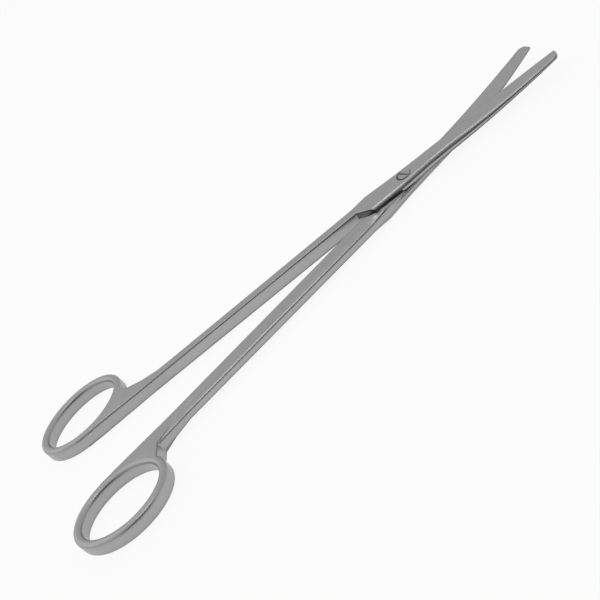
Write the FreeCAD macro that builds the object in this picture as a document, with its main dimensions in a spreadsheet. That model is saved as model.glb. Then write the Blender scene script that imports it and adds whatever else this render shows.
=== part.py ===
import FreeCAD, Part
import math
import os
import Sketcher

# Dissecting scissors of stainless steel: two forged halves crossing at a lap joint, held by one slotted screw.
# Each half is one piece: finger ring, web, shank, joint plate and blade.
# Frame: origin on the screw's axis at the underside of the joint, +X towards the blade tips, +Z up.
# A half is drawn as it lies in the closed scissors, with the plane between the halves as its own XY plane
# and the screw's axis on its Z. The upper half's ring lies at +Y, and the lower half is the same form
# turned half a turn about X, except that both blades curve up.

# Driving dimensions in millimetres, angles in degrees.
SIZES = [
    # Finger rings
    ("ring_reach", 125.2),          # screw to the middle of the ring
    ("ring_side", 13.0),            # middle line to the middle of the ring, scissors closed
    ("ring_hole_length", 27.3),
    ("ring_hole_width", 19.9),
    ("ring_bar_width", 2.7),
    ("ring_bar_round", 1.1),        # rounding of the bar's section
    ("ring_tilt", 11.1),            # the ring's long axis against the middle line
    # Where the shank runs out on the ring
    ("notch_reach", 107.4),         # screw to the notch between shank and ring
    ("notch_width", 5.9),
    ("notch_edge", 3.3),            # height of the narrow outer face
    ("notch_flat", 5.3),            # width of the flat top
    # Shanks
    ("shank_gap", 0.55),            # middle line to the flat inner face, scissors closed
    ("shank_ring_reach", 96.0),     # screw to the slim end of the shank
    ("shank_ring_width", 4.5),
    ("shank_ring_height", 4.2),
    ("shank_ring_edge", 2.3),
    ("shank_ring_flat", 2.5),
    ("shank_joint_width", 4.9),
    ("shank_joint_height", 4.6),
    ("shank_joint_edge", 2.3),
    ("shank_joint_flat", 3.1),
    ("edge_round", 0.25),           # ground edges of shank and joint
    # Lap joint
    ("joint_width", 8.4),
    ("joint_thickness", 5.0),
    ("joint_bevel", 0.9),
    ("joint_side", 2.7),            # height of the upright side
    ("joint_back", 18.8),           # screw to the end of the shank
    ("joint_front", 9.0),           # screw to the root of the blade
    ("step_run", 4.9),              # length of the plate's slanted end
    ("step_gap", 1.2),              # slanted end to the other half's shank
    ("lap_gap", 0.04),              # running clearance between the mating faces
    ("shoulder_back", 13.0),        # screw to the full width of the shoulder
    ("shoulder_rim", 0.9),          # shoulder beside the other half's plate
    ("shoulder_gap", 0.15),         # shoulder to the other half's plate, scissors closed
    ("shoulder_front", 2.9),        # screw to the end of the shoulder
    ("shoulder_drop", 0.7),         # height that the shoulder still has at its end
    # Blades
    ("blade_reach", 57.4),          # screw to the tip
    ("blade_root_reach", 16.0),     # screw to the full grind of the cutting edge
    ("blade_root_back", 3.3),       # middle line to the back
    ("blade_mid_back", 3.8),
    ("blade_tip_back", 4.1),
    ("blade_root_cut", 3.6),        # middle line to the cutting edge
    ("blade_mid_cut", 3.3),
    ("blade_tip_cut", 0.5),
    ("blade_tip_height", 0.9),
    ("blade_tip_side", 0.5),        # upright part of the back
    ("blade_tip_bevel", 0.4),
    ("cut_bevel", 1.2),
    ("cut_edge", 0.2),
    ("blade_rise", 2.5),            # how far the tips curve up
    ("blade_gap", 0.12),            # clearance between the blades' flat faces
    ("tip_back_round", 2.4),
    ("tip_cut_round", 1.0),
    # Screw
    ("screw_head", 4.1),
    ("screw_head_depth", 1.0),
    ("screw_head_rise", 0.1),
    ("screw_head_round", 0.15),
    ("screw_stem", 2.6),
    ("screw_play", 0.04),           # running clearance round head and stem
    ("thread_play", 0.01),          # stem in the threaded hole
    ("slot_width", 0.55),
    ("slot_depth", 0.5),
    ("slot_turn", 109.0),           # slot against +X
    # How far the scissors stand open
    ("opening", 11.9),
]

# The curve of the blades grows with this power of the distance from the root.
RISE_POWER = 1.8
# Blade sections, as shares of the length from the full grind to the tip.
BLADE_STATIONS = [0.0, 0.25, 0.5, 0.75, 1.0]
# Places along the ring's middle line where the web ends inside the bar, in degrees.
WEB_STATIONS = [-20.0, -45.0, -75.0]
# Where the flat inner face runs out on the ring's bar, in degrees.
WEB_END = -105.0
# Cutters reach this far past the solid.
CLEAR = 3.0


class Size:
    """A length or angle with the expression that keeps it tied to the sheet."""

    def __init__(self, value, formula):
        self.value = value
        self.formula = formula

    def __add__(self, other):
        other = as_size(other)
        return Size(self.value + other.value, "(%s + %s)" % (self.formula, other.formula))

    def __sub__(self, other):
        other = as_size(other)
        return Size(self.value - other.value, "(%s - %s)" % (self.formula, other.formula))

    def __mul__(self, other):
        other = as_size(other)
        return Size(self.value * other.value, "(%s * %s)" % (self.formula, other.formula))

    def __truediv__(self, other):
        other = as_size(other)
        return Size(self.value / other.value, "(%s / %s)" % (self.formula, other.formula))

    def __neg__(self):
        return Size(-self.value, "(0 - %s)" % self.formula)

    def __radd__(self, other):
        return as_size(other) + self

    def __rsub__(self, other):
        return as_size(other) - self

    def __rmul__(self, other):
        return as_size(other) * self


def as_size(number):
    if isinstance(number, Size):
        return number
    return Size(float(number), "(%r)" % float(number))


def cosine(angle):
    return Size(math.cos(math.radians(angle.value)), "cos(%s)" % angle.formula)


def sine(angle):
    return Size(math.sin(math.radians(angle.value)), "sin(%s)" % angle.formula)


def bind(thing, name, size):
    """Tie one property of an object to the sheet."""
    thing.setExpression(name, as_size(size).formula)


def fill_sheet(doc):
    sheet = doc.addObject("Spreadsheet::Sheet", "sizes")
    found = {}
    for row, (name, value) in enumerate(SIZES, start=1):
        sheet.set("A%d" % row, name)
        sheet.set("B%d" % row, repr(value))
        sheet.setAlias("B%d" % row, name)
        found[name] = Size(value, "sizes.%s" % name)
    doc.recompute()
    return found


doc = FreeCAD.newDocument("dissecting_scissors")
s = fill_sheet(doc)


def new_body(name):
    body = doc.addObject("PartDesign::Body", name)
    body.Label = name
    doc.recompute()
    return body


def sketch_on(body, name, plane, across=0.0, up=0.0, lift=0.0, turn=None, turn_axis=None):
    """A sketch on one of the body's origin planes, shifted in its own plane and lifted along its normal."""
    sketch = body.newObject("Sketcher::SketchObject", name)
    support = next(item for item in body.Origin.OriginFeatures if item.Role == plane)
    sketch.AttachmentSupport = [(support, "")]
    sketch.MapMode = "FlatFace"
    shift = [as_size(part) for part in (across, up, lift)]
    rotation = FreeCAD.Rotation()
    if turn is not None:
        rotation = FreeCAD.Rotation(FreeCAD.Vector(*turn_axis), turn.value)
    sketch.AttachmentOffset = FreeCAD.Placement(FreeCAD.Vector(*[part.value for part in shift]), rotation)
    for axis, part in zip("xyz", shift):
        bind(sketch, ".AttachmentOffset.Base.%s" % axis, part)
    if turn is not None:
        bind(sketch, ".AttachmentOffset.Rotation.Angle", turn)
    return sketch


def pin(sketch, geometry, point, x, y):
    """Fix a point of the sketch at x, y from its origin."""
    for kind, size in (("DistanceX", x), ("DistanceY", y)):
        index = sketch.addConstraint(Sketcher.Constraint(kind, -1, 1, geometry, point, size.value))
        bind(sketch, "Constraints[%d]" % index, size)


def flat(size_x, size_y):
    return FreeCAD.Vector(size_x, size_y, 0.0)


def outline(sketch, corners):
    """A closed line through the corners. A corner with a radius is rounded by an arc tangent to its lines."""
    count = len(corners)
    points = [flat(as_size(corner[0]).value, as_size(corner[1]).value) for corner in corners]
    starts = list(points)
    ends = [points[(index + 1) % count] for index in range(count)]
    rounds = {}
    for index, corner in enumerate(corners):
        if len(corner) < 3:
            continue
        arriving = (points[index] - points[index - 1]).normalize()
        leaving = (points[(index + 1) % count] - points[index]).normalize()
        bend = math.atan2(arriving.cross(leaving).z, arriving.dot(leaving))
        radius = corner[2]
        reach = radius.value * math.tan(abs(bend) / 2)
        first = points[index] - arriving * reach
        last = points[index] + leaving * reach
        side = 1.0 if bend > 0 else -1.0
        centre = first + flat(-arriving.y, arriving.x) * (side * radius.value)
        rounds[index] = (radius, first, last, centre, side)
        ends[index - 1] = first
        starts[index] = last
    for start, end in zip(starts, ends):
        sketch.addGeometry(Part.LineSegment(start, end))
    for index, corner in enumerate(corners):
        x, y = as_size(corner[0]), as_size(corner[1])
        before = (index - 1) % count
        if index not in rounds:
            sketch.addConstraint(Sketcher.Constraint("Coincident", before, 2, index, 1))
            pin(sketch, index, 1, x, y)
            continue
        radius, first, last, centre, side = rounds[index]
        near, far = (first, last) if side > 0 else (last, first)
        circle = Part.Circle(centre, FreeCAD.Vector(0, 0, 1), radius.value)
        arc = sketch.addGeometry(Part.ArcOfCircle(circle, circle.parameter(near), circle.parameter(far)))
        mark = sketch.addGeometry(Part.Point(points[index]), True)
        arc_in, arc_out = (1, 2) if side > 0 else (2, 1)
        pin(sketch, mark, 1, x, y)
        sketch.addConstraint(Sketcher.Constraint("PointOnObject", mark, 1, before))
        sketch.addConstraint(Sketcher.Constraint("PointOnObject", mark, 1, index))
        sketch.addConstraint(Sketcher.Constraint("Tangent", before, 2, arc, arc_in))
        sketch.addConstraint(Sketcher.Constraint("Tangent", arc, arc_out, index, 1))
        place = sketch.addConstraint(Sketcher.Constraint("Radius", arc, radius.value))
        bind(sketch, "Constraints[%d]" % place, radius)


def disc(sketch, diameter):
    """A circle round the sketch's origin."""
    circle = sketch.addGeometry(Part.Circle(FreeCAD.Vector(), FreeCAD.Vector(0, 0, 1), diameter.value / 2))
    sketch.addConstraint(Sketcher.Constraint("Coincident", circle, 3, -1, 1))
    index = sketch.addConstraint(Sketcher.Constraint("Diameter", circle, diameter.value))
    bind(sketch, "Constraints[%d]" % index, diameter)


def loft(body, name, sections, ruled):
    feature = body.newObject("PartDesign::AdditiveLoft", name)
    feature.Profile = sections[0]
    feature.Sections = sections[1:]
    feature.Ruled = ruled
    doc.recompute()
    return feature


def pad(body, name, sketch, length, symmetric=False):
    feature = body.newObject("PartDesign::Pad", name)
    feature.Profile = sketch
    bind(feature, "Length", length)
    if symmetric:
        feature.SideType = "Symmetric"
    doc.recompute()
    return feature


def pocket(body, name, sketch, along_normal=False, depth=None, both_ways=False):
    """Cut away from the sketch's normal, or along it, and make sure that something was cut."""
    before = body.Shape.Volume
    feature = body.newObject("PartDesign::Pocket", name)
    feature.Profile = sketch
    if both_ways:
        feature.SideType = "Symmetric"
    feature.Reversed = along_normal
    if depth is None:
        feature.Type = "ThroughAll"
    else:
        feature.Type = "Length"
        bind(feature, "Length", depth)
    doc.recompute()
    if not body.Shape.Volume < before:
        raise RuntimeError("%s in %s cuts nothing" % (name, body.Label))
    return feature


# Sizes that several features share.
half_joint = s["joint_thickness"] / 2
half_width = s["joint_width"] / 2
bar_height = s["joint_thickness"]
ring_half_length = (s["ring_hole_length"] + s["ring_bar_width"]) / 2
ring_half_width = (s["ring_hole_width"] + s["ring_bar_width"]) / 2
wall = half_width + s["shoulder_gap"]


def shank_section(body, side, name, reach, width, height, edge, top):
    """Flat inner face, flat top and bottom, and a narrow upright outer face between two bevels."""
    inner = s["shank_gap"]
    sketch = sketch_on(body, name, "YZ_Plane", lift=-reach)
    corners = [
        (inner, -height / 2),
        (inner, height / 2),
        (inner + top, height / 2),
        (inner + width, edge / 2),
        (inner + width, -edge / 2),
        (inner + top, -height / 2),
    ]
    outline(sketch, [(side * y, z, s["edge_round"]) for y, z in corners])
    return sketch


def make_shank(body, side):
    notch = shank_section(body, side, "shank_at_notch", s["notch_reach"], s["notch_width"],
                          s["shank_ring_height"], s["notch_edge"], s["notch_flat"])
    ring_end = shank_section(body, side, "shank_at_ring", s["shank_ring_reach"], s["shank_ring_width"],
                             s["shank_ring_height"], s["shank_ring_edge"], s["shank_ring_flat"])
    joint_end = shank_section(body, side, "shank_at_joint", s["joint_back"], s["shank_joint_width"],
                              s["shank_joint_height"], s["shank_joint_edge"], s["shank_joint_flat"])
    loft(body, "shank", [notch, ring_end, joint_end], ruled=True)


def make_ring(body, side):
    path = sketch_on(body, "ring_path", "XY_Plane", across=-s["ring_reach"], up=side * s["ring_side"],
                     turn=s["ring_tilt"], turn_axis=(0, 0, side))
    ellipse = Part.Ellipse(flat(ring_half_length.value, 0), flat(0, ring_half_width.value), FreeCAD.Vector())
    path.addGeometry(ellipse)
    path.exposeInternalGeometry(0)
    path.addConstraint(Sketcher.Constraint("Coincident", 0, 3, -1, 1))
    path.addConstraint(Sketcher.Constraint("PointOnObject", 1, 1, -1))
    for axis, half_length in ((1, ring_half_length), (2, ring_half_width)):
        index = path.addConstraint(Sketcher.Constraint("Distance", axis, 2 * half_length.value))
        bind(path, "Constraints[%d]" % index, 2 * half_length)
    section = sketch_on(body, "ring_section", "XZ_Plane", across=-s["ring_reach"], lift=-side * s["ring_side"],
                        turn=s["ring_tilt"], turn_axis=(0, side, 0))
    inside = ring_half_length - s["ring_bar_width"] / 2
    outside = ring_half_length + s["ring_bar_width"] / 2
    corners = [
        (inside, -bar_height / 2),
        (outside, -bar_height / 2),
        (outside, bar_height / 2),
        (inside, bar_height / 2),
    ]
    outline(section, [(x, z, s["ring_bar_round"]) for x, z in corners])
    ring = body.newObject("PartDesign::AdditivePipe", "ring")
    ring.Profile = section
    ring.Spine = path
    ring.Mode = "Frenet"
    doc.recompute()


def ring_point(side, angle, outwards=0.0):
    """A point of the ring in plan, at an angle round it and so far outwards from the bar's middle line."""
    angle = as_size(angle)
    along = (ring_half_length + outwards) * cosine(angle)
    across = (ring_half_width + outwards) * sine(angle)
    tilt = s["ring_tilt"]
    x = along * cosine(tilt) - across * sine(tilt) - s["ring_reach"]
    y = along * sine(tilt) + across * cosine(tilt) + s["ring_side"]
    return x, side * y


def make_web(body, side):
    """The flat web that fills the corner between the shank's end and the ring."""
    sketch = sketch_on(body, "web_outline", "XY_Plane")
    outer = s["shank_gap"] + s["notch_width"]
    corners = [(-s["notch_reach"], side * s["shank_gap"]), (-s["notch_reach"], side * outer)]
    corners += [ring_point(side, angle) for angle in WEB_STATIONS]
    corners.append(ring_point(side, WEB_END, s["ring_bar_width"] / 2))
    outline(sketch, corners)
    pad(body, "web", sketch, s["shank_ring_height"], symmetric=True)


def joint_section(body, side, name, reach, inner, outer, height, edge, bevel, outer_bevel):
    """The joint before milling: flat top and bottom, upright sides and four bevels."""
    sketch = sketch_on(body, name, "YZ_Plane", lift=reach)
    corners = [
        (-inner, -edge / 2),
        (-inner, edge / 2),
        (-inner + bevel, height / 2),
        (outer - outer_bevel, height / 2),
        (outer, edge / 2),
        (outer, -edge / 2),
        (outer - outer_bevel, -height / 2),
        (-inner + bevel, -height / 2),
    ]
    outline(sketch, [(side * y, z, s["edge_round"]) for y, z in corners])
    return sketch


def make_joint_block(body, side):
    shank_outer = s["shank_gap"] + s["shank_joint_width"]
    shank_bevel = s["shank_joint_width"] - s["shank_joint_flat"]
    bevel = s["joint_bevel"]
    sections = [
        joint_section(body, side, "joint_at_back", -s["joint_back"], half_width, shank_outer,
                      s["shank_joint_height"], s["shank_joint_edge"], bevel, shank_bevel),
        joint_section(body, side, "joint_at_shoulder", -s["shoulder_back"], half_width, wall + s["shoulder_rim"],
                      s["joint_thickness"], s["joint_side"], bevel, bevel),
        joint_section(body, side, "joint_at_screw", -s["shoulder_front"], half_width, half_width,
                      s["joint_thickness"], s["joint_side"], bevel, bevel),
        joint_section(body, side, "joint_at_front", s["joint_front"], s["blade_root_back"], s["blade_root_cut"],
                      s["joint_thickness"], s["joint_side"], bevel, bevel),
    ]
    loft(body, "joint_block", sections, ruled=True)


def cut_slanted_end(body, side):
    """Behind the plate the block is cut away along a slant, down to the line of the shank's inner face."""
    sketch = sketch_on(body, "slant_outline", "XY_Plane")
    corners = [
        (-s["joint_back"], s["shank_gap"]),
        (-s["joint_back"] + s["step_run"], -half_width),
        (-s["joint_back"] + s["step_run"], -half_width - CLEAR),
        (-s["joint_back"], -half_width - CLEAR),
    ]
    outline(sketch, [(x, side * y) for x, y in corners])
    pocket(body, "slanted_end", sketch, both_ways=True, depth=2 * s["joint_thickness"])


def mill_recess(body, side):
    """The recess that takes the other half's plate, with a shoulder left along its far side."""
    sketch = sketch_on(body, "recess_outline", "XY_Plane", lift=side * s["lap_gap"] / 2)
    back = -s["joint_back"] - s["step_gap"]
    corners = [
        (back, -s["shank_gap"]),
        (back + s["step_run"], wall),
        (s["joint_front"] + CLEAR, wall),
        (s["joint_front"] + CLEAR, -half_width - CLEAR),
        (back, -half_width - CLEAR),
    ]
    outline(sketch, [(x, side * y) for x, y in corners])
    pocket(body, "recess", sketch, along_normal=side < 0, depth=s["joint_thickness"])


def lower_shoulder(body, side):
    """The shoulder slopes down towards its front end."""
    sketch = sketch_on(body, "shoulder_slope", "XZ_Plane")
    below = half_joint + CLEAR
    corners = [
        (-s["joint_back"] + s["step_run"] - s["step_gap"], -half_joint),
        (-s["shoulder_front"], -s["shoulder_drop"]),
        (CLEAR, -s["shoulder_drop"]),
        (CLEAR, -below),
        (-s["joint_back"] + s["step_run"] - s["step_gap"], -below),
    ]
    outline(sketch, [(x, side * z) for x, z in corners])
    pocket(body, "shoulder", sketch, along_normal=side < 0, depth=wall + s["shoulder_rim"] + CLEAR)


def between(root, middle, tip, share):
    """A smooth run of values through root, middle and tip."""
    return (root * ((1 - share) * (1 - 2 * share)) + middle * (4 * share * (1 - share))
            + tip * (share * (2 * share - 1)))


def blade_section(body, side, name, reach, back, cut, rise, height, back_side, bevel, cut_bevel, cut_edge):
    """One half of the closed pair: flat mating face, upright back, bevel, top and ground cutting bevel."""
    sketch = sketch_on(body, name, "YZ_Plane", lift=reach, up=rise)
    face = s["blade_gap"] / 2
    corners = [
        (-back, face),
        (-back, back_side),
        (-back + bevel, height),
        (cut - cut_bevel, height),
        (cut, cut_edge),
        (cut, face),
    ]
    outline(sketch, [(side * y, side * z) for y, z in corners])
    return sketch


def blade_rise(share):
    return s["blade_rise"] * share ** RISE_POWER


def make_blade(body, side):
    half_side = s["joint_side"] / 2
    root = blade_section(body, side, "blade_at_joint", s["joint_front"], s["blade_root_back"], s["blade_root_cut"],
                         as_size(0), half_joint, half_side, s["joint_bevel"], s["joint_bevel"], half_side)
    sections = []
    for share in BLADE_STATIONS:
        reach = s["blade_root_reach"] + (s["blade_reach"] - s["blade_root_reach"]) * share
        sections.append(blade_section(
            body, side, "blade_at_%d" % round(100 * share), reach,
            between(s["blade_root_back"], s["blade_mid_back"], s["blade_tip_back"], share),
            between(s["blade_root_cut"], s["blade_mid_cut"], s["blade_tip_cut"], share),
            blade_rise(share),
            half_joint * (1 - share) + s["blade_tip_height"] * share,
            half_side * (1 - share) + s["blade_tip_side"] * share,
            s["joint_bevel"] * (1 - share) + s["blade_tip_bevel"] * share,
            s["cut_bevel"], s["cut_edge"] + s["blade_gap"] / 2))
    loft(body, "blade_root", [root, sections[0]], ruled=True)
    loft(body, "blade", sections, ruled=False)


def round_tip(body, side):
    sketch = sketch_on(body, "tip_outline", "XY_Plane")
    tip = s["blade_reach"]
    back, cut = s["blade_tip_back"], s["blade_tip_cut"]
    start = tip - 2 * s["tip_back_round"]
    corners = [
        (start, -back - s["cut_edge"]),
        (tip, -back, s["tip_back_round"]),
        (tip, cut, s["tip_cut_round"]),
        (start, cut + s["tip_cut_round"]),
        (start, cut + s["tip_cut_round"] + CLEAR),
        (tip + CLEAR, cut + s["tip_cut_round"] + CLEAR),
        (tip + CLEAR, -back - CLEAR),
        (start, -back - CLEAR),
    ]
    outline(sketch, [(corner[0], side * corner[1]) + corner[2:] for corner in corners])
    pocket(body, "tip", sketch, both_ways=True, depth=4 * s["joint_thickness"])


def drill(body, name, diameter, lift=0.0, up=False, depth=None):
    sketch = sketch_on(body, name + "_circle", "XY_Plane", lift=lift)
    disc(sketch, diameter)
    pocket(body, name, sketch, along_normal=up, depth=depth)


def make_half(name, side):
    body = new_body(name)
    make_shank(body, side)
    make_joint_block(body, side)
    cut_slanted_end(body, side)
    mill_recess(body, side)
    lower_shoulder(body, side)
    make_blade(body, side)
    round_tip(body, side)
    make_web(body, side)
    make_ring(body, side)
    return body


def make_upper_half():
    body = make_half("upper_half", 1)
    drill(body, "bore", s["screw_stem"] + 2 * s["screw_play"], up=True)
    seat = half_joint - s["screw_head_depth"] - s["screw_play"]
    drill(body, "head_seat", s["screw_head"] + 2 * s["screw_play"], lift=seat, up=True)
    return body


def make_lower_half():
    body = make_half("lower_half", -1)
    drill(body, "threaded_hole", s["screw_stem"] + 2 * s["thread_play"])
    return body


def make_screw():
    """Stem up to the head, head flush with the joint, and a slot across it."""
    body = new_body("pivot_screw")
    stem = sketch_on(body, "stem_circle", "XY_Plane", lift=-half_joint)
    disc(stem, s["screw_stem"])
    under_head = half_joint - s["screw_head_depth"]
    pad(body, "stem", stem, half_joint + under_head)
    head = sketch_on(body, "head_circle", "XY_Plane", lift=under_head)
    disc(head, s["screw_head"])
    solid = pad(body, "head", head, s["screw_head_depth"] + s["screw_head_rise"])
    top = max(range(len(solid.Shape.Faces)), key=lambda index: solid.Shape.Faces[index].CenterOfMass.z)
    rounding = body.newObject("PartDesign::Fillet", "head_edge")
    rounding.Base = (solid, ["Face%d" % (top + 1)])
    bind(rounding, "Radius", s["screw_head_round"])
    doc.recompute()
    slot = sketch_on(body, "slot_outline", "XY_Plane", lift=half_joint + s["screw_head_rise"],
                     turn=s["slot_turn"], turn_axis=(0, 0, 1))
    length, width = s["screw_head"] / 2 + CLEAR, s["slot_width"] / 2
    outline(slot, [(-length, -width), (length, -width), (length, width), (-length, width)])
    pocket(body, "slot", slot, depth=s["slot_depth"])
    return body


def place(body, turn, axis):
    """Turn a piece about the screw and lift it so that the joint's underside is at zero."""
    body.Placement = FreeCAD.Placement(FreeCAD.Vector(0, 0, half_joint.value),
                                       FreeCAD.Rotation(FreeCAD.Vector(0, 0, axis), as_size(turn).value))
    bind(body, ".Placement.Base.z", half_joint)
    bind(body, ".Placement.Rotation.Angle", turn)


upper_half = make_upper_half()
place(upper_half, s["opening"] / 2, -1)
lower_half = make_lower_half()
place(lower_half, s["opening"] / 2, 1)
pivot_screw = make_screw()
place(pivot_screw, 0, 1)
doc.recompute()

pieces = [upper_half, lower_half, pivot_screw]
for item in doc.Objects:
    if "Invalid" in item.State or "Error" in item.State:
        raise RuntimeError("%s is %s" % (item.Label, item.State))
for piece in pieces:
    if piece.Shape.isNull() or not piece.Shape.isValid() or len(piece.Shape.Solids) != 1:
        raise RuntimeError("%s has no valid solid" % piece.Label)

os.makedirs("parts", exist_ok=True)
for piece in pieces:
    piece.Shape.exportStep("parts/%s.step" % piece.Label)
    print(piece.Label, round(piece.Shape.Volume, 2), piece.Shape.BoundBox)
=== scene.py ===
import bmesh
import bpy
import math
from mathutils import Matrix, Vector


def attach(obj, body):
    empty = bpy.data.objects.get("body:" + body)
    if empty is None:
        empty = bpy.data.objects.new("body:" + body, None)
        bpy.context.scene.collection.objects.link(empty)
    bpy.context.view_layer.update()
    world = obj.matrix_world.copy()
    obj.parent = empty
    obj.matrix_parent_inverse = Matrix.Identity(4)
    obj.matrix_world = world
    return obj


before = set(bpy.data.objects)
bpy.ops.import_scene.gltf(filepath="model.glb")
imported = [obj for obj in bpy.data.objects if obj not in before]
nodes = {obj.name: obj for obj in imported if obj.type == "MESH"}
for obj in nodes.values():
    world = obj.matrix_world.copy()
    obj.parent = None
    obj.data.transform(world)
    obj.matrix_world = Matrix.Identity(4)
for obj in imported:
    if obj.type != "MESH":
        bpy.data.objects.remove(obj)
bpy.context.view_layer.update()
print("frame loaded:", sorted(nodes))

# The scissors lie on the table, and the camera looks down on them with its own roll
viewpoint = {
    "azimuth": -3.65,        # degrees from looking along +Y
    "elevation": 32.1,
    "roll": 40.39,
    "distance": 0.28577,     # camera to target
    "target": (-0.04954, -0.0099, 0.0025),
    "focal": 981.05,         # in the pixels of the picture
    "centre": (299.82, 302.15),
    "pictureSize": 600,
    "sensorWidth": 36.0,
}

# Plain studio: soft lamps and a pale surround that is darker on one side only
studio = {
    "floorHalf": 3.0,
    "floorColor": (0.88, 0.88, 0.88, 1.0),
    "floorDrop": 0.00008,    # just under the steel, so that the two faces don't fight
    "floorGlow": 0.90,       # how much of the floor shows plain white
    "white": (1.0, 1.0, 1.0, 1.0),
    "paleSide": (0.74, 0.74, 0.74, 1.0),
    "darkSide": (0.13, 0.13, 0.132, 1.0),
    "darkDirection": (0.0, -0.96, 0.28),
    "darkStart": 0.80,       # cosine from the middle of the dark side
    "darkFull": 0.885,
}
lamps = {
    "keyLamp": {"place": (-0.68, 0.40, 0.68), "size": 1.10, "power": 1.3},
    "frontLamp": {"place": (0.0, -0.44, 0.90), "size": 0.40, "power": 0.75},
}

# Shared effects, each a group of plain values over the surface
grainGroup = {
    "name": "groundGrain",
    "inputs": {"Fine Scale": 5200.0, "Stretch": 0.035, "Cloud Scale": 210.0},
    "fineDetail": 3.0,
    "fineRoughness": 0.65,
    "cloudDetail": 4.0,
}
edgeGroup = {
    "name": "roundedEdgeSheen",
    "inputs": {"Width": 0.0011, "Contrast": 5.0},
    "samples": 12,
}
creviceGroup = {
    "name": "creviceShade",
    "inputs": {"Reach": 0.0026, "Contrast": 1.7},
    "samples": 8,
}
noiseSpan = (0.3, 0.7)       # values between which nearly all of a noise lies


def addNode(tree, kind, **values):
    node = tree.nodes.new(kind)
    for key, value in values.items():
        setattr(node, key, value)
    return node


def feed(tree, socket, value):
    # value is another socket, or a plain number or colour
    if isinstance(value, bpy.types.NodeSocket):
        tree.links.new(value, socket)
    else:
        socket.default_value = value


def mathNode(tree, operation, *values, clamp=False):
    node = addNode(tree, "ShaderNodeMath", operation=operation, use_clamp=clamp)
    for socket, value in zip(node.inputs, values):
        feed(tree, socket, value)
    return node.outputs[0]


def multiply(tree, *values):
    return mathNode(tree, "MULTIPLY", *values)


def rangeNode(tree, value, fromLow, fromHigh, toLow, toHigh):
    node = addNode(tree, "ShaderNodeMapRange", interpolation_type="SMOOTHSTEP")
    tree.links.new(value, node.inputs["Value"])
    ends = {"From Min": fromLow, "From Max": fromHigh, "To Min": toLow, "To Max": toHigh}
    for name, end in ends.items():
        node.inputs[name].default_value = end
    return node.outputs["Result"]


def mixColors(tree, factor, first, second):
    node = addNode(tree, "ShaderNodeMix", data_type="RGBA")
    for index, value in ((0, factor), (6, first), (7, second)):  # the Mix node's colour sockets
        feed(tree, node.inputs[index], value)
    return node.outputs[2]


def splitVector(tree, vector):
    split = addNode(tree, "ShaderNodeSeparateXYZ")
    tree.links.new(vector, split.inputs[0])
    return split


def distanceFromPivot(tree, split):
    squares = [multiply(tree, split.outputs[axis], split.outputs[axis]) for axis in ("X", "Y")]
    return mathNode(tree, "SQRT", mathNode(tree, "ADD", *squares))


def newGroup(settings, outputs):
    tree = bpy.data.node_groups.new(settings["name"], "ShaderNodeTree")
    for name, value in settings["inputs"].items():
        socket = tree.interface.new_socket(name=name, in_out="INPUT", socket_type="NodeSocketFloat")
        socket.default_value = value
    for name, kind in outputs.items():
        tree.interface.new_socket(name=name, in_out="OUTPUT", socket_type=kind)
    return tree, addNode(tree, "NodeGroupInput"), addNode(tree, "NodeGroupOutput")


def placeGroup(tree, group, **values):
    node = addNode(tree, "ShaderNodeGroup", node_tree=group)
    for name, value in values.items():
        node.inputs[name].default_value = value
    return node


def makeGrainGroup():
    # Fine scratches drawn out along the length of the piece, and slow clouds of the polishing wheel
    outputs = {"Scratches": "NodeSocketFloat", "Clouds": "NodeSocketFloat"}
    tree, given, result = newGroup(grainGroup, outputs)
    place = addNode(tree, "ShaderNodeTexCoord")
    split = splitVector(tree, place.outputs["Object"])
    drawn = addNode(tree, "ShaderNodeCombineXYZ")
    tree.links.new(multiply(tree, split.outputs["X"], given.outputs["Stretch"]), drawn.inputs["X"])
    tree.links.new(split.outputs["Y"], drawn.inputs["Y"])
    tree.links.new(split.outputs["Z"], drawn.inputs["Z"])
    fine = addNode(tree, "ShaderNodeTexNoise", noise_dimensions="3D")
    fine.inputs["Detail"].default_value = grainGroup["fineDetail"]
    fine.inputs["Roughness"].default_value = grainGroup["fineRoughness"]
    tree.links.new(drawn.outputs[0], fine.inputs["Vector"])
    tree.links.new(given.outputs["Fine Scale"], fine.inputs["Scale"])
    clouds = addNode(tree, "ShaderNodeTexNoise", noise_dimensions="3D")
    clouds.inputs["Detail"].default_value = grainGroup["cloudDetail"]
    tree.links.new(place.outputs["Object"], clouds.inputs["Vector"])
    tree.links.new(given.outputs["Cloud Scale"], clouds.inputs["Scale"])
    tree.links.new(fine.outputs["Fac"], result.inputs["Scratches"])
    tree.links.new(clouds.outputs["Fac"], result.inputs["Clouds"])
    return tree


def makeEdgeGroup():
    # 1 where the surface bends sharply, and the normal of the softened edge
    outputs = {"Mask": "NodeSocketFloat", "Normal": "NodeSocketVector"}
    tree, given, result = newGroup(edgeGroup, outputs)
    soft = addNode(tree, "ShaderNodeBevel", samples=edgeGroup["samples"])
    tree.links.new(given.outputs["Width"], soft.inputs["Radius"])
    plain = addNode(tree, "ShaderNodeNewGeometry")
    likeness = addNode(tree, "ShaderNodeVectorMath", operation="DOT_PRODUCT")
    tree.links.new(soft.outputs["Normal"], likeness.inputs[0])
    tree.links.new(plain.outputs["Normal"], likeness.inputs[1])
    bend = mathNode(tree, "SUBTRACT", 1.0, likeness.outputs["Value"], clamp=True)
    mask = mathNode(tree, "MULTIPLY", bend, given.outputs["Contrast"], clamp=True)
    tree.links.new(mask, result.inputs["Mask"])
    tree.links.new(soft.outputs["Normal"], result.inputs["Normal"])
    return tree


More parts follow.
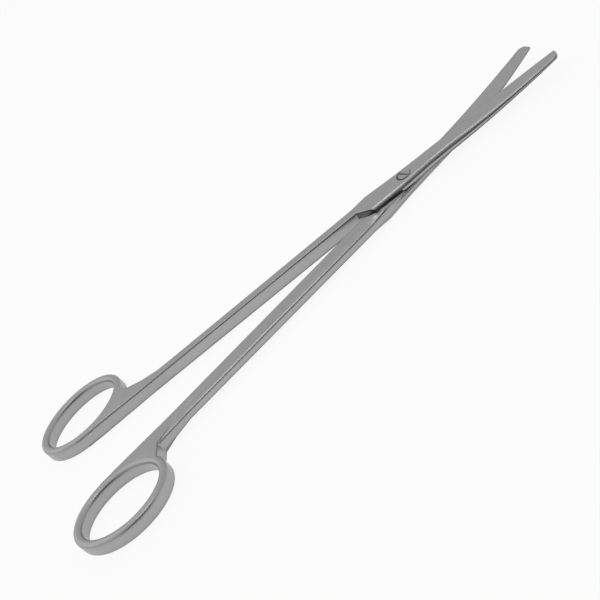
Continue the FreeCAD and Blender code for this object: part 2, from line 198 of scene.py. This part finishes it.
def makeCreviceGroup():
    # 1 in narrow gaps and inner corners, where shade is painted
    tree, given, result = newGroup(creviceGroup, {"Mask": "NodeSocketFloat"})
    openness = addNode(tree, "ShaderNodeAmbientOcclusion", samples=creviceGroup["samples"])
    tree.links.new(given.outputs["Reach"], openness.inputs["Distance"])
    closed = mathNode(tree, "SUBTRACT", 1.0, openness.outputs["AO"], clamp=True)
    mask = mathNode(tree, "POWER", closed, given.outputs["Contrast"], clamp=True)
    tree.links.new(mask, result.inputs["Mask"])
    return tree


grain = makeGrainGroup()
roundedEdgeSheen = makeEdgeGroup()
creviceShade = makeCreviceGroup()
print("groups built")


def emptyTree(owner):
    owner.use_nodes = True
    owner.node_tree.nodes.clear()
    return owner.node_tree


def newSteel(name):
    material = bpy.data.materials.new(name)
    tree = emptyTree(material)
    shader = addNode(tree, "ShaderNodeBsdfPrincipled")
    shader.inputs["Metallic"].default_value = 1.0
    output = addNode(tree, "ShaderNodeOutputMaterial")
    tree.links.new(shader.outputs[0], output.inputs["Surface"])
    return material, tree, shader


def roughen(tree, shader, finish, height, normal):
    bump = addNode(tree, "ShaderNodeBump")
    bump.inputs["Strength"].default_value = finish["bumpStrength"]
    bump.inputs["Distance"].default_value = finish["bumpDistance"]
    tree.links.new(height, bump.inputs["Height"])
    tree.links.new(normal, bump.inputs["Normal"])
    tree.links.new(bump.outputs[0], shader.inputs["Normal"])


# Satin ground stainless steel of the two halves
halfSteel = {
    "color": (0.37, 0.371, 0.373, 1.0),
    "paleColor": (0.41, 0.411, 0.413, 1.0),
    # pale colour of the painted highlight on sharp edges
    "edgeHighlightColor": (0.48, 0.481, 0.483, 1.0),
    # dark colour of the painted shade, painted shadow and painted dark reflection lines
    "paintedShadeColor": (0.06, 0.06, 0.062, 1.0),
    "scratchShare": 0.5,       # what scratches and clouds each add to the pale colour
    "cloudShare": 0.35,
    "roughnessLow": 0.22,
    "roughnessHigh": 0.29,
    "ringRoughness": 0.10,     # added on the finger rings, which are only tumbled
    "ringFrom": -0.088,        # where the rings' finish starts and is full, along the length
    "ringTo": -0.097,
    "bumpStrength": 0.025,
    "bumpDistance": 0.00002,
    "edgeShare": 0.35,         # how far a sharp edge turns pale, a painted highlight
    "creviceShare": 0.85,
    "lineRise": (0.05, 0.25),  # lean of a rounded edge, 0 upright, where its painted dark reflection line starts and is full
    "lineFall": (0.50, 0.72),  # and where it fades and ends
    "lineContrast": 4.0,
    "lineShare": 0.9,
    "screwRim": 0.00236,       # radius of the painted shadow ring round the screw's head
    "screwRimCore": 0.00014,   # full and faded half widths of that ring
    "screwRimWidth": 0.00042,
    "screwRimSide": (-0.6, 0.5),  # cosines from +X between which the ring fades
    "screwRimFar": 0.1,        # what is left of it on the blades' side
    "screwRimShare": 0.95,
    "milledFrom": -0.030,      # stretch of the lap joint whose milled ends get painted shade, along the length
    "milledTo": -0.006,
    "milledLean": (-0.55, -0.25),  # their normal's X where they are full and where they end
    "milledShare": 0.88,
}


def darkReflectionLineMask(tree, edge):
    # 1 on the outer half of a rounded edge, where it turns upright, for a painted dark reflection line
    lean = splitVector(tree, edge.outputs["Normal"])
    upward = mathNode(tree, "ABSOLUTE", lean.outputs["Z"])
    rise = rangeNode(tree, upward, *halfSteel["lineRise"], 0.0, 1.0)
    fall = rangeNode(tree, upward, *halfSteel["lineFall"], 1.0, 0.0)
    sharp = mathNode(tree, "MULTIPLY", edge.outputs["Mask"], halfSteel["lineContrast"], clamp=True)
    return multiply(tree, sharp, multiply(tree, rise, fall))


def screwRimShadowMask(tree, split):
    # 1 in a thin ring round the pivot, strongest on the side of the finger rings: a painted shadow round
    # the screw's head
    radius = distanceFromPivot(tree, split)
    away = mathNode(tree, "ABSOLUTE", mathNode(tree, "SUBTRACT", radius, halfSteel["screwRim"]))
    ring = rangeNode(tree, away, halfSteel["screwRimCore"], halfSteel["screwRimWidth"], 1.0, 0.0)
    forward = mathNode(tree, "DIVIDE", split.outputs["X"], radius)
    side = rangeNode(tree, forward, *halfSteel["screwRimSide"], 1.0, halfSteel["screwRimFar"])
    return multiply(tree, ring, side)


def milledEndShadeMask(tree, place, split):
    # 1 on the upright faces that end the lap joint towards the finger rings, which get painted shade
    facing = splitVector(tree, place.outputs["Normal"])
    rearward = rangeNode(tree, facing.outputs["X"], *halfSteel["milledLean"], 1.0, 0.0)
    after = mathNode(tree, "GREATER_THAN", split.outputs["X"], halfSteel["milledFrom"])
    before = mathNode(tree, "LESS_THAN", split.outputs["X"], halfSteel["milledTo"])
    return multiply(tree, rearward, multiply(tree, after, before))


def makeHalfSteel():
    material, tree, shader = newSteel("satinSteel")
    place = addNode(tree, "ShaderNodeTexCoord")
    split = splitVector(tree, place.outputs["Object"])
    scratches = placeGroup(tree, grain)
    edge = placeGroup(tree, roundedEdgeSheen)
    crevice = placeGroup(tree, creviceShade)
    fine = rangeNode(tree, scratches.outputs["Scratches"], *noiseSpan, 0.0, 1.0)
    cloud = rangeNode(tree, scratches.outputs["Clouds"], *noiseSpan, 0.0, 1.0)
    fine = multiply(tree, fine, halfSteel["scratchShare"])
    tone = mathNode(tree, "MULTIPLY_ADD", cloud, halfSteel["cloudShare"], fine)
    steel = mixColors(tree, tone, halfSteel["color"], halfSteel["paleColor"])
    marks = (
        # painted highlight: sharp edges turn pale
        (edge.outputs["Mask"], "edgeShare", "edgeHighlightColor"),
        # painted shade in narrow gaps and inner corners
        (crevice.outputs["Mask"], "creviceShare", "paintedShadeColor"),
        # painted dark reflection line on rounded edges
        (darkReflectionLineMask(tree, edge), "lineShare", "paintedShadeColor"),
        # painted shade on the milled ends of the lap joint
        (milledEndShadeMask(tree, place, split), "milledShare", "paintedShadeColor"),
        # painted shadow ring round the screw's head
        (screwRimShadowMask(tree, split), "screwRimShare", "paintedShadeColor"),
    )
    for mask, share, color in marks:
        steel = mixColors(tree, multiply(tree, mask, halfSteel[share]), steel, halfSteel[color])
    tree.links.new(steel, shader.inputs["Base Color"])
    ground = rangeNode(tree, tone, 0.0, 1.0, halfSteel["roughnessLow"], halfSteel["roughnessHigh"])
    ringEnds = (halfSteel["ringFrom"], halfSteel["ringTo"], 0.0, halfSteel["ringRoughness"])
    tumbled = rangeNode(tree, split.outputs["X"], *ringEnds)
    tree.links.new(mathNode(tree, "ADD", ground, tumbled), shader.inputs["Roughness"])
    roughen(tree, shader, halfSteel, scratches.outputs["Scratches"], edge.outputs["Normal"])
    return material


# Turned steel of the screw, with rings about its own axis
turnedSteel = {
    "color": (0.33, 0.33, 0.333, 1.0),
    "paleColor": (0.44, 0.44, 0.444, 1.0),
    # pale colour of the painted highlight on the screw's sharp edges
    "edgeHighlightColor": (0.50, 0.50, 0.505, 1.0),
    # dark colour of the painted shade in the screw's narrow gaps and corners
    "paintedShadeColor": (0.05, 0.05, 0.052, 1.0),
    "ringsPerMetre": 5200.0,
    "scratchStretch": 1.0,   # not drawn out
    "scratchLow": 0.3,       # how much of the rings' tone a scratch leaves
    "roughnessLow": 0.24,
    "roughnessHigh": 0.38,
    "bumpStrength": 0.15,
    "bumpDistance": 0.00002,
    "edgeWidth": 0.00018,
    "edgeShare": 0.5,
    "creviceReach": 0.0005,
}


def makeScrewSteel():
    material, tree, shader = newSteel("turnedSteel")
    place = addNode(tree, "ShaderNodeTexCoord")
    radius = distanceFromPivot(tree, splitVector(tree, place.outputs["Object"]))
    turned = mathNode(tree, "SINE", multiply(tree, radius, math.tau * turnedSteel["ringsPerMetre"]))
    rings = rangeNode(tree, turned, -1.0, 1.0, 0.0, 1.0)
    scratches = placeGroup(tree, grain, Stretch=turnedSteel["scratchStretch"])
    worn = rangeNode(tree, scratches.outputs["Scratches"], *noiseSpan, turnedSteel["scratchLow"], 1.0)
    tone = multiply(tree, rings, worn)
    edge = placeGroup(tree, roundedEdgeSheen, Width=turnedSteel["edgeWidth"])
    crevice = placeGroup(tree, creviceShade, Reach=turnedSteel["creviceReach"])
    steel = mixColors(tree, tone, turnedSteel["color"], turnedSteel["paleColor"])
    # painted highlight: the screw's sharp edges turn pale
    edgeSheen = multiply(tree, edge.outputs["Mask"], turnedSteel["edgeShare"])
    steel = mixColors(tree, edgeSheen, steel, turnedSteel["edgeHighlightColor"])
    # painted shade in the screw's narrow gaps and corners
    steel = mixColors(tree, crevice.outputs["Mask"], steel, turnedSteel["paintedShadeColor"])
    tree.links.new(steel, shader.inputs["Base Color"])
    low, high = turnedSteel["roughnessLow"], turnedSteel["roughnessHigh"]
    tree.links.new(rangeNode(tree, tone, 0.0, 1.0, low, high), shader.inputs["Roughness"])
    roughen(tree, shader, turnedSteel, rings, edge.outputs["Normal"])
    return material


def dress(node, material):
    if not node.material_slots:
        node.data.materials.append(material)
    for slot in node.material_slots:
        slot.material = material


halfMaterial = makeHalfSteel()
for name in ("upper_half", "lower_half"):
    dress(nodes[name], halfMaterial)
dress(nodes["pivot_screw"], makeScrewSteel())
print("steel dressed")


# Webs between ring and shank, ground flush with the ring.
# They are drawn as in the closed scissors, with the ring at +Y and the screw's axis as origin.
web = {
    "ringMiddle": (-0.1252, 0.0130),
    "ringHalfLength": 0.01465,    # just inside the middle line of the ring's bar
    "ringHalfWidth": 0.01095,
    "ringTilt": 11.1,             # degrees
    "ringFrom": -17.0,            # stretch of the ring that the web meets, degrees round it
    "ringTo": -100.0,
    "ringSteps": 14,
    # Inner face, from inside the ring's bar
    "innerRun": ((-0.1262, 0.0010), (-0.1245, 0.00034), (-0.1220, 0.00026)),
    "shankInner": (-0.0990, 0.00052),
    "shankOuter": (-0.0990, 0.0037),
    "notch": (-0.1074, 0.00648),
    "halfHeight": 0.00249,
    "sunk": 0.00041,              # how far both ends run down into the steel
    "shankRamp": (-0.1065, -0.0992),
    "ringRamp": (-0.1195, -0.1255),
    "round": 0.00035,
    "roundSteps": 4,
    "middleHeight": 0.0025,       # height of the plane between the halves
    "openHalf": 5.95,             # degrees that each half stands open
}


def webOutline():
    corners = [web["shankInner"], web["shankOuter"], web["notch"]]
    middleX, middleY = web["ringMiddle"]
    tilt = math.radians(web["ringTilt"])
    for step in range(web["ringSteps"] + 1):
        share = step / web["ringSteps"]
        turn = math.radians(web["ringFrom"] + (web["ringTo"] - web["ringFrom"]) * share)
        along = web["ringHalfLength"] * math.cos(turn)
        across = web["ringHalfWidth"] * math.sin(turn)
        corners.append((middleX + along * math.cos(tilt) - across * math.sin(tilt),
                        middleY + along * math.sin(tilt) + across * math.cos(tilt)))
    corners += web["innerRun"]
    return [Vector(corner) for corner in corners]


def drawnIn(corners, distance):
    # The same closed line, moved inwards
    moved = []
    for index, corner in enumerate(corners):
        before = (corner - corners[index - 1]).normalized()
        after = (corners[(index + 1) % len(corners)] - corner).normalized()
        normals = [Vector((-edge.y, edge.x)) for edge in (before, after)]
        share = distance / (1.0 + normals[0].dot(normals[1]))
        moved.append(corner + (normals[0] + normals[1]) * share)
    return moved


def ramp(x, ends):
    # Smooth rise from 0 to 1 between two places along the length
    share = min(max((x - ends[0]) / (ends[1] - ends[0]), 0.0), 1.0)
    return share * share * (3.0 - 2.0 * share)


def webLevels():
    # Inset, drop and face (-1 below, 1 above) of each line round the web, from the bottom up
    layers = []
    for step in range(web["roundSteps"] + 1):
        angle = math.radians(90.0 * step / web["roundSteps"])
        layers.append((web["round"] * (1.0 - math.cos(angle)), web["round"] * (1.0 - math.sin(angle))))
    below = [(inset, drop, -1.0) for inset, drop in reversed(layers)]
    above = [(inset, drop, 1.0) for inset, drop in layers]
    return below + above


def makeWeb(name, body, side):
    turn = Matrix.Rotation(math.radians(-side * web["openHalf"]), 3, "Z")
    lift = Vector((0.0, 0.0, web["middleHeight"]))
    outline = webOutline()
    shape = bmesh.new()
    loops = []
    for inset, drop, face in webLevels():
        loop = []
        for corner in drawnIn(outline, inset):
            sunk = web["sunk"] * (ramp(corner.x, web["shankRamp"]) + ramp(corner.x, web["ringRamp"]))
            height = face * (web["halfHeight"] - drop - sunk)
            loop.append(shape.verts.new(turn @ Vector((corner.x, side * corner.y, height)) + lift))
        loops.append(loop)
    for lower, upper in zip(loops, loops[1:]):
        for index in range(len(lower)):
            shape.faces.new((lower[index - 1], lower[index], upper[index], upper[index - 1]))
    ends = [shape.faces.new(loops[0]), shape.faces.new(loops[-1])]
    bmesh.ops.triangulate(shape, faces=ends)
    bmesh.ops.recalc_face_normals(shape, faces=shape.faces)
    mesh = bpy.data.meshes.new(name)
    shape.to_mesh(mesh)
    shape.free()
    mesh.materials.append(halfMaterial)
    piece = bpy.data.objects.new(name, mesh)
    bpy.context.scene.collection.objects.link(piece)
    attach(piece, body)


makeWeb("upper_web", "upper", 1.0)
makeWeb("lower_web", "lower", -1.0)
print("webs built")


def seenDirectly(tree, path):
    # 1 for rays from the camera, straight or through something clear
    return mathNode(tree, "MAXIMUM", path.outputs["Is Camera Ray"], path.outputs["Is Transmission Ray"])


def mixShaders(tree, share, first, second, output):
    mix = addNode(tree, "ShaderNodeMixShader")
    tree.links.new(share, mix.inputs[0])
    tree.links.new(first.outputs[0], mix.inputs[1])
    tree.links.new(second.outputs[0], mix.inputs[2])
    tree.links.new(mix.outputs[0], output.inputs["Surface"])


def makeSurround():
    world = bpy.data.worlds.new("paleSurround")
    bpy.context.scene.world = world
    tree = emptyTree(world)
    place = addNode(tree, "ShaderNodeTexCoord")
    facing = addNode(tree, "ShaderNodeVectorMath", operation="DOT_PRODUCT")
    tree.links.new(place.outputs["Generated"], facing.inputs[0])
    facing.inputs[1].default_value = Vector(studio["darkDirection"]).normalized()
    share = rangeNode(tree, facing.outputs["Value"], studio["darkStart"], studio["darkFull"], 0.0, 1.0)
    light = addNode(tree, "ShaderNodeBackground")
    around = mixColors(tree, share, studio["paleSide"], studio["darkSide"])
    tree.links.new(around, light.inputs["Color"])
    plain = addNode(tree, "ShaderNodeBackground")
    plain.inputs["Color"].default_value = studio["white"]
    seen = seenDirectly(tree, addNode(tree, "ShaderNodeLightPath"))
    mixShaders(tree, seen, light, plain, addNode(tree, "ShaderNodeOutputWorld"))


def makeFloor():
    half = studio["floorHalf"]
    height = -studio["floorDrop"]
    mesh = bpy.data.meshes.new("floor")
    corners = [(x * half, y * half, height) for x, y in ((-1, -1), (1, -1), (1, 1), (-1, 1))]
    mesh.from_pydata(corners, [], [(0, 1, 2, 3)])
    floor = bpy.data.objects.new("floor", mesh)
    bpy.context.scene.collection.objects.link(floor)
    material = bpy.data.materials.new("paleFloor")
    tree = emptyTree(material)
    matt = addNode(tree, "ShaderNodeBsdfDiffuse")
    matt.inputs["Color"].default_value = studio["floorColor"]
    glow = addNode(tree, "ShaderNodeEmission")
    glow.inputs["Color"].default_value = studio["white"]
    path = addNode(tree, "ShaderNodeLightPath")
    seen = mathNode(tree, "MAXIMUM", seenDirectly(tree, path), path.outputs["Is Glossy Ray"])
    share = multiply(tree, seen, studio["floorGlow"])
    mixShaders(tree, share, matt, glow, addNode(tree, "ShaderNodeOutputMaterial"))
    mesh.materials.append(material)


def makeLamps():
    for name, lamp in lamps.items():
        light = bpy.data.lights.new(name, "AREA")
        light.size = lamp["size"]
        light.energy = lamp["power"]
        holder = bpy.data.objects.new(name, light)
        holder.location = lamp["place"]
        holder.rotation_euler = (-Vector(lamp["place"])).to_track_quat("-Z", "Y").to_euler()
        bpy.context.scene.collection.objects.link(holder)


def makeCamera():
    azimuth = math.radians(viewpoint["azimuth"])
    elevation = math.radians(viewpoint["elevation"])
    roll = math.radians(viewpoint["roll"])
    back = Vector((math.sin(azimuth) * math.cos(elevation), -math.cos(azimuth) * math.cos(elevation),
                   math.sin(elevation)))
    level = (-back).cross(Vector((0.0, 0.0, 1.0))).normalized()
    up = level.cross(-back)
    across = math.cos(roll) * level - math.sin(roll) * up
    upright = back.cross(across)
    camera = bpy.data.cameras.new("camera")
    camera.sensor_width = viewpoint["sensorWidth"]
    camera.lens = viewpoint["focal"] / viewpoint["pictureSize"] * viewpoint["sensorWidth"]
    middle = viewpoint["pictureSize"] / 2
    camera.shift_x = (middle - viewpoint["centre"][0]) / viewpoint["pictureSize"]
    camera.shift_y = (viewpoint["centre"][1] - middle) / viewpoint["pictureSize"]
    holder = bpy.data.objects.new("camera", camera)
    turn = Matrix((across, upright, back)).transposed().to_4x4()
    place = Vector(viewpoint["target"]) + back * viewpoint["distance"]
    holder.matrix_world = Matrix.Translation(place) @ turn
    bpy.context.scene.collection.objects.link(holder)
    bpy.context.scene.camera = holder


makeSurround()
makeFloor()
makeLamps()
makeCamera()
bpy.context.scene.view_settings.view_transform = "Standard"
print("studio and camera placed")
